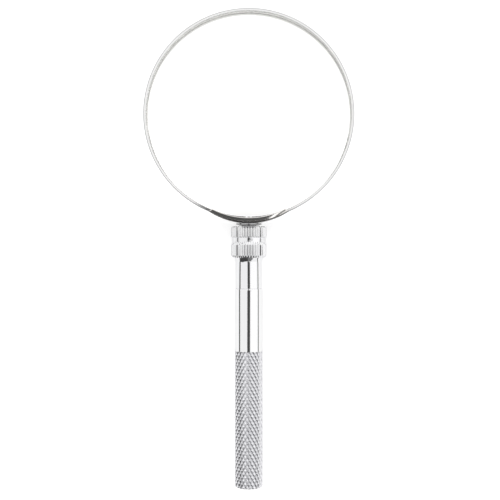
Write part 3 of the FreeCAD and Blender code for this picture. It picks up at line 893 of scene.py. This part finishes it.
def ribbed_sector(name, outline, crest):
    """One rib wide, round the handle's axis, which is at height 0 until the tree lifts it."""
    points = []
    across = rib_profile()
    for place, depth in across:
        angle = 2 * math.pi * place / rib_count
        for distance, radius in outline:
            radius = min(radius, crest - groove_depth * depth) * MM
            points.append((radius * math.sin(angle), down(distance), radius * math.cos(angle)))
    mesh = bpy.data.meshes.new(name)
    mesh.from_pydata(points, [], spin_faces(len(across), len(outline), closed_round=False))
    marks = mesh.attributes.new("in_rows", "BOOLEAN", "FACE")
    marks.data.foreach_set("value", [False] * len(mesh.polygons))
    return mesh


def knurled(name, corners, crest, finish):
    """A whole part with straight ribs wherever its outline reaches above the grooves."""
    sector = ribbed_sector(name + "_sector", broken(corners), crest)
    values = {"Copies": rib_count, "Rows": 1, "Row step": 0.0}
    values.update({"Axis height": axis_z, "Material": finish})
    return piece_from(name, grow(name, sector_ring, values, sector), finish, sharp=42)


# %% [markdown]
# ## The nut and the ferrule
#
# The nut has a small polished nose, a ribbed body and, inside, the cone that squeezes the collet.
# The ferrule starts with a hidden spigot that the nut screws over, then a plain shoulder where
# its ribs fade in, the ribbed ring, a hollow flare that mirrors the dark in front of the handle,
# and the slim neck that meets the tube. Inside it is the room that the collet sits in.

# %% The nut
nut_start, nut_end, nut_radius = span("chuck_nut")
shank_bore = 2.65
nose_end, nose_radius = 40.6, 3.75
nut_bevel = 0.35
thread_start, thread_bore = 41.9, 4.45
cone_start, cone_small = 40.8, 2.8
cone_end, cone_large = 41.7, 3.4
nut = knurled(
    "nut_body",
    [
        (nut_start, shank_bore, 0.06),
        (nut_start, nose_radius, 0.1),
        (nose_end, nose_radius, 0.0),
        (nose_end, nut_radius - nut_bevel, 0.06),
        (nose_end + nut_bevel, nut_radius, 0.1),
        (nut_end - 0.12, nut_radius, 0.05),
        (nut_end, nut_radius - 0.14, 0.05),
        (nut_end, thread_bore, 0.1),
        (thread_start, thread_bore, 0.05),
        (cone_end, cone_large, 0.05),
        (cone_start, cone_small, 0.05),
        (cone_start - 0.05, shank_bore, 0.0),
    ],
    nut_radius,
    nut_chrome,
)
report(nut)
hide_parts("chuck_nut")
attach(nut, "nut")

# %% The ferrule
ferrule_start, ferrule_end, ferrule_radius = span("ferrule")
shoulder_start, knurl_start, knurl_end = 44.5, 47.3, 51.4
seam, _, tube_radius = span("handle_tube")
spigot_radius, tail_radius = 4.4, 4.0
room_start, room_end, room_radius = ferrule_start + 0.1, 51.9, 3.48
shoulder_radius = ferrule_radius - 0.32
ribs_start_to_fade = knurl_end - 0.3
flare_start, flare_end = knurl_end + 0.5, 53.6
neck_radius, flare_rise = 4.84, 0.58
flare_steps = 12
flare = []
for step in range(flare_steps + 1):
    part = step / flare_steps
    distance = flare_start + (flare_end - flare_start) * part
    flare.append((distance, neck_radius + flare_rise * (1 - part) ** 1.35, 0.0))
ferrule = knurled(
    "ferrule_body",
    [
        (ferrule_start, shank_bore, 0.06),
        (ferrule_start, spigot_radius, 0.15),
        (shoulder_start, spigot_radius, 0.05),
        (shoulder_start, shoulder_radius, 0.18),
        (knurl_start - 1.2, shoulder_radius, 0.0),
        (knurl_start - 0.9, shoulder_radius + 0.01, 0.0),
        (knurl_start, ferrule_radius, 0.3),
        (ribs_start_to_fade, ferrule_radius, 0.08),
        (flare_start, ferrule_radius - 0.5, 0.05),
    ]
    + flare
    + [
        (seam - 0.12, 4.93, 0.0),
        (seam, 4.82, 0.03),
        (seam, tail_radius, 0.05),
        (ferrule_end, tail_radius, 0.2),
        (ferrule_end, shank_bore, 0.1),
        (room_end, shank_bore, 0.05),
        (room_end, room_radius, 0.05),
        (room_start, room_radius, 0.0),
        (room_start, shank_bore, 0.0),
    ],
    ferrule_radius,
    ferrule_chrome,
)
report(ferrule)
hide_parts("ferrule")
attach(ferrule, "handle")


# %% [markdown]
# ## The handle tube and its diamond grip
#
# The back of the tube is diamond knurled: two families of grooves cross and leave small
# four-sided points. One tile holds a whole point in its middle and a quarter of a point at each
# corner, so tiles meet with straight edges and the grip can start and stop on a clean line. The
# same tree as before repeats the tile in rows first, because its faces carry the mark, and then
# sets the whole strip, plain tube included, twenty-two times round the axis.

# %% One tile of the grip
diamonds_round = 22
diamond_rows = 20
diamond_depth = 0.34
grip_start = 85.8
tube_end = span("handle_tube")[1]
end_round = 0.5
grip_end = tube_end - end_round
row_length = (grip_end - grip_start) / diamond_rows
point_size = 0.36
point_drop = 0.14
inset = point_size / 2
diamond_width = 2 * math.pi * tube_radius / diamonds_round
print("one diamond is", round(diamond_width, 3), "by", round(row_length, 3), "mm")


def tile_geometry():
    """Points (across, along, depth) and faces of one tile, each from 0 to 1."""
    points = {
        "a": (0.5, 0, 1), "b": (1, 0.5, 1), "c": (0.5, 1, 1), "d": (0, 0.5, 1),
        "e": (0.5, 0.5, 0),
        "ea": (0.5, 0.5 - inset, point_drop), "eb": (0.5 + inset, 0.5, point_drop),
        "ec": (0.5, 0.5 + inset, point_drop), "ed": (0.5 - inset, 0.5, point_drop),
        "p": (0, 0, 0), "pa": (inset, 0, point_drop), "pd": (0, inset, point_drop),
        "q": (1, 0, 0), "qa": (1 - inset, 0, point_drop), "qb": (1, inset, point_drop),
        "r": (1, 1, 0), "rc": (1 - inset, 1, point_drop), "rb": (1, 1 - inset, point_drop),
        "s": (0, 1, 0), "sc": (inset, 1, point_drop), "sd": (0, 1 - inset, point_drop),
    }
    rings = [
        "a b eb ea", "b c ec eb", "c d ed ec", "d a ea ed",
        "ea eb e", "eb ec e", "ec ed e", "ed ea e",
        "p pa pd", "pa a d pd", "q qb qa", "qb b a qa",
        "r rc rb", "rc c b rb", "s sd sc", "sd d c sc",
    ]
    names = list(points)
    faces = [tuple(names.index(name) for name in ring.split()) for ring in rings]
    return list(points.values()), faces


# %% One strip of the tube
def end_radius(distance):
    """Radius of the tube's rounded end at a place down the handle."""
    past = max(distance - grip_end, 0.0)
    return tube_radius - end_round + math.sqrt(max(end_round**2 - past**2, 0.0))


def tube_strip():
    """The plain tube, its bore and one marked tile, one twenty-second of the round."""
    sector_angle = 2 * math.pi / diamonds_round
    bore = 4.02

    def place(across, distance, radius):
        angle = sector_angle * (across - 0.5)
        return (radius * MM * math.sin(angle), down(distance), radius * MM * math.cos(angle))

    tile_points, faces = tile_geometry()
    points = [
        place(u, grip_start + v * row_length, tube_radius - diamond_depth * depth)
        for u, v, depth in tile_points
    ]
    marks = [True] * len(faces)
    edge = [(0, 0), (inset, point_drop), (0.5, 1), (1 - inset, point_drop), (1, 0)]
    front = [(grip_start - 0.16, tube_radius), (grip_start - 0.3, tube_radius)]
    front += [(seam + 1.0, tube_radius), (seam + 0.2, tube_radius)]
    front += [(seam + 0.06, tube_radius - 0.03), (seam, tube_radius - 0.12)]
    front += [(seam, bore + 0.1), (seam + 0.1, bore), (seam + 1.0, bore)]
    back = [(tube_end - 1.0, bore), (tube_end - 0.1, bore), (tube_end, bore + 0.1)]
    back += [(tube_end, tube_radius - end_round)]
    stations = []
    for u, depth in edge:
        cut = tube_radius - diamond_depth * depth
        column = [(grip_start, cut)] + front + back
        for past in (0.48, 0.42, 0.32, 0.16):
            distance = grip_end + past
            column.append((distance, min(cut, end_radius(distance))))
        column.append((grip_end, cut))
        stations.append([place(u, distance, radius) for distance, radius in column])
    length = len(stations[0])
    for first, second in zip(stations, stations[1:]):
        for index in range(length - 1):
            base = len(points)
            points += [first[index], first[index + 1], second[index + 1], second[index]]
            faces.append((base, base + 1, base + 2, base + 3))
            marks.append(False)
    mesh = bpy.data.meshes.new("tube_strip")
    mesh.from_pydata(points, [], faces)
    marked = mesh.attributes.new("in_rows", "BOOLEAN", "FACE")
    marked.data.foreach_set("value", marks)
    return mesh


# %% Grow the tube
values = {"Copies": diamonds_round, "Rows": diamond_rows, "Row step": row_length * MM}
values.update({"Axis height": axis_z, "Material": grip_chrome})
tube_mesh = grow("tube_body", sector_ring, values, tube_strip())
tube = piece_from("tube_body", tube_mesh, tube_chrome, sharp=24)
tube.data.materials.append(grip_chrome)
for face in tube.data.polygons:
    face.material_index = 1 if face.center.y < down(grip_start - 0.01) else 0
report(tube)
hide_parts("handle_tube")
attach(tube, "handle")

# %% The end plug
plug_start, plug_end, plug_radius = span("end_plug")


def turned_disc(name, start, end, radius, finish, segments=128):
    """A solid disc with broken edges, its two flats closed to a point on the axis."""
    rim = broken([(start, 0.0, 0), (start, radius, 0.25), (end, radius, 0.15), (end, 0.0, 0)])
    outline = [point for point in rim if point[1] > 0.001]
    outline = [(start, radius * 0.5)] + outline + [(end, radius * 0.5)]
    points = [(0.0, down(start), axis_z), (0.0, down(end), axis_z)]
    faces = []
    length = len(outline)
    for segment in range(segments):
        angle = 2 * math.pi * segment / segments
        for distance, reach in outline:
            side = reach * MM * math.sin(angle)
            points.append((side, down(distance), axis_z + reach * MM * math.cos(angle)))
    for segment in range(segments):
        this, following = 2 + segment * length, 2 + (segment + 1) % segments * length
        faces.append((0, following, this))
        faces.append((1, this + length - 1, following + length - 1))
        for index in range(length - 1):
            faces.append((this + index, this + index + 1, following + index + 1, following + index))
    return make_piece(name, points, faces, finish)


plug = turned_disc("plug_disc", plug_start, plug_end, plug_radius, tube_chrome)
report(plug)
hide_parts("end_plug")
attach(plug, "handle")


# %% [markdown]
# ## Parts that stay as the engineering model made them
#
# The neck shank with its slot, the cross pin and the split collet are inside the handle at rest.
# Their shapes are right already, so they only take a finish.

# %% Finish the inner parts
for node, finish in (
    ("neck_shank", turned_steel),
    ("lug_pin", turned_steel),
    ("collet", collet_brass),
):
    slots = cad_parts[node].data.materials
    slots.clear()
    slots.append(finish)


# %% [markdown]
# ## The studio
#
# Polished metal shows its surroundings, so the surroundings are built as in a product studio: a
# pale table, a soft even sky, a bright soft box on the right, a dark card overhead for the strong
# line down the tube, and low strips near the horizon for the two side lines. Smaller cards at the
# height of the eye, and walls in front, give the crescent, the rings and the flare their darks
# and lights. The cards are seen only in reflections. The table gives off some light, so that
# shadows stay faint, and that light fades outwards, so that the side views aren't washed out.

# %% The table
def studio_surface(name, colour, glow, strength, fades=False):
    """A studio surface: mottled a little, and giving off some light of its own.

    One that fades gives its light only near the middle, where the object lies, and less than
    half of it to polished metal, so that chrome keeps its edges against the pale table.
    """
    finish, bench = new_finish(name)
    mottle = cloud(bench, 9.0, 3.0)
    fine = cloud(bench, 900.0, 2.0)
    light = tint(bench, mottle, tuple(c * 0.97 for c in glow), glow)
    if fades:
        across, along, _ = coordinates(bench)
        mirror_ray = bench.add("ShaderNodeLightPath", output=3)
        mirrored = mirror_ray * (1 - bench.output(mirror_ray, 6))
        near = 1 - ease(bench, off_axis(across, along), 0.15, 0.60)
        fade = 1 - near * (1 - 0.6 * mirrored)
        light = tint(bench, fade, light, (0.05, 0.05, 0.05))
    inputs = {
        "Base Color": tint(bench, mottle, tuple(c * 0.98 for c in colour), colour),
        "Roughness": 0.7 + 0.1 * mottle,
        "Normal": uneven(bench, 0.05, 0.1 * MM, fine),
        "Emission Color": light,
        "Emission Strength": strength,
    }
    close_finish(bench, inputs)
    return finish


def flat_sheet(name, corners, finish):
    """A flat four-cornered studio surface."""
    mesh = bpy.data.meshes.new(name)
    mesh.from_pydata([tuple(corner) for corner in corners], [], [(0, 1, 2, 3)])
    mesh.materials.append(finish)
    sheet = bpy.data.objects.new(name, mesh)
    bpy.context.scene.collection.objects.link(sheet)
    return sheet


table_half = 3.0
table_level = -0.00004
table_corners = [
    (x * table_half, y * table_half, table_level) for x, y in ((-1, -1), (1, -1), (1, 1), (-1, 1))
]
pale_table = studio_surface("pale_table", (0.86, 0.86, 0.86), (1.0, 1.0, 1.0), 0.44, fades=True)
flat_sheet("table_top", table_corners, pale_table)


# %% Cards that only reflections see
def card(name, corners, brightness):
    """A card that shows in reflections, as bright as it is told, and lights nothing."""
    face = studio_surface(name + "_face", (0.02, 0.02, 0.02), (1.0, 1.0, 1.0), brightness)
    sheet = flat_sheet(name, corners, face)
    sheet.visible_camera = False
    sheet.visible_diffuse = False
    sheet.visible_shadow = False
    sheet.visible_transmission = False


def upright(left, right, low, high):
    """The corners of a card that stands upright from one place on the table to another."""
    return [(*left, low), (*right, low), (*right, high), (*left, high)]


# A flat face lying at x, y shows an eye above the middle what is at twice x, y at the eye's own
# height, so the crescent's cards sit at twice its distance. The others are placed one by one.
eye_height = 0.325
over_handle = [(-0.083, -0.20), (0.026, -0.20), (0.062, 0.014), (-0.052, 0.014)]
over_crescent = [(-0.036, 0.0145), (0.0130, 0.0145), (0.0134, 0.08), (-0.036, 0.08)]
over_gleam = [(0.0131, 0.0145), (0.0204, 0.0145), (0.0204, 0.08), (0.0135, 0.08)]
over_tip = [(0.0205, 0.0145), (0.0260, 0.0145), (0.0265, 0.055), (0.0205, 0.055)]
over_ring = [(0.060, -0.0065), (0.13, -0.0065), (0.13, 0.0010), (0.062, 0.0010)]
over_nut = [(0.062, 0.0096), (0.15, 0.0096), (0.15, 0.0145), (0.063, 0.0145)]
over_flare = [(-0.42, -0.42), (-0.05, -0.42), (-0.05, -0.21), (-0.42, -0.21)]
beside_flare = [(-0.05, -0.42), (0.13, -0.42), (0.13, -0.21), (-0.05, -0.21)]
for name, corners, brightness in (
    ("overhead_card", over_handle, 0.02),
    ("crescent_card", over_crescent, 0.05),
    ("crescent_gleam_card", over_gleam, 1.5),
    ("crescent_tip_card", over_tip, 0.03),
    ("ring_card", over_ring, 0.42),
    ("nut_card", over_nut, 0.48),
    ("flare_card", over_flare, 0.015),
    ("flare_grey_card", beside_flare, 0.14),
):
    card(name, [(x, y, eye_height) for x, y in corners], brightness)


def soft_box_corner(angle, y, reach=0.8):
    """A point that far from the handle, at an angle from straight up towards the right."""
    turn = math.radians(angle)
    return (reach * math.sin(turn), y, axis_z + reach * math.cos(turn))


soft_box = [(18, -0.38), (72, -0.38), (72, 0.9), (18, 0.9)]
card("right_soft_box", [soft_box_corner(angle, y) for angle, y in soft_box], 1.08)
card("left_dark_strip", upright((-1.2, -1.5), (-1.2, 0.4), 0.05, 0.34), 0.04)
card("right_grey_strip", upright((1.2, -1.5), (1.2, 0.4), 0.0, 0.20), 0.10)
card("front_dark_wall", upright((-1.15, -0.45), (-0.06, -0.8), 0.07, 0.85), 0.015)
card("front_grey_wall", upright((-0.06, -0.8), (0.5, -0.8), 0.07, 0.88), 0.16)

# %% The sky, a little brighter for scattered light and for reflections
sky = bpy.data.worlds.new("soft_sky")
bpy.context.scene.world = sky
sky.use_nodes = True
sky.node_tree.nodes.clear()
bench = Bench(sky.node_tree)
scattered_ray = bench.add("ShaderNodeLightPath", output=2)
mirror_ray = bench.output(scattered_ray, 3)
strength = 0.86 + 0.14 * scattered_ray + 0.09 * mirror_ray
background = bench.add(
    "ShaderNodeBackground", None, {"Color": (1.0, 1.0, 1.0, 1), "Strength": strength}
)
bench.add("ShaderNodeOutputWorld", None, {"Surface": background})


# %% [markdown]
# ## The camera
#
# The camera looks straight down from about a foot above the table. Being that close matters: the
# back lip of the band shows inside the front one, and the band's wall shows through the glass.

# %% Camera and tone
camera_data = bpy.data.cameras.new("eye")
camera_data.sensor_width = 36.0
camera_data.lens = 63.1
camera_data.dof.use_dof = False
camera_data.clip_start = 0.01
camera = bpy.data.objects.new("eye", camera_data)
camera.location = (0.00044, -0.00065, axis_z + 0.3186)
camera.rotation_euler = (0.0, 0.0, 0.0)
bpy.context.scene.collection.objects.link(camera)
bpy.context.scene.camera = camera
bpy.context.scene.view_settings.view_transform = "Standard"
bpy.context.scene.view_settings.look = "None"

# Seen from the side, light runs to and fro inside a thick lens many times before it leaves it.
for limit in ("max_bounces", "glossy_bounces", "transmission_bounces"):
    setattr(bpy.context.scene.cycles, limit, 28)

# %% [markdown]
# ## The clear pieces
#
# The visual model has to stay inside the engineering model's box. The two clear pieces cast no
# shadow and scatter no light on to the table, which keeps it pale.

# %% The clear pieces
for clear in (glass, strip):
    clear.visible_shadow = False
    clear.visible_diffuse = False
bpy.context.view_layer.update()
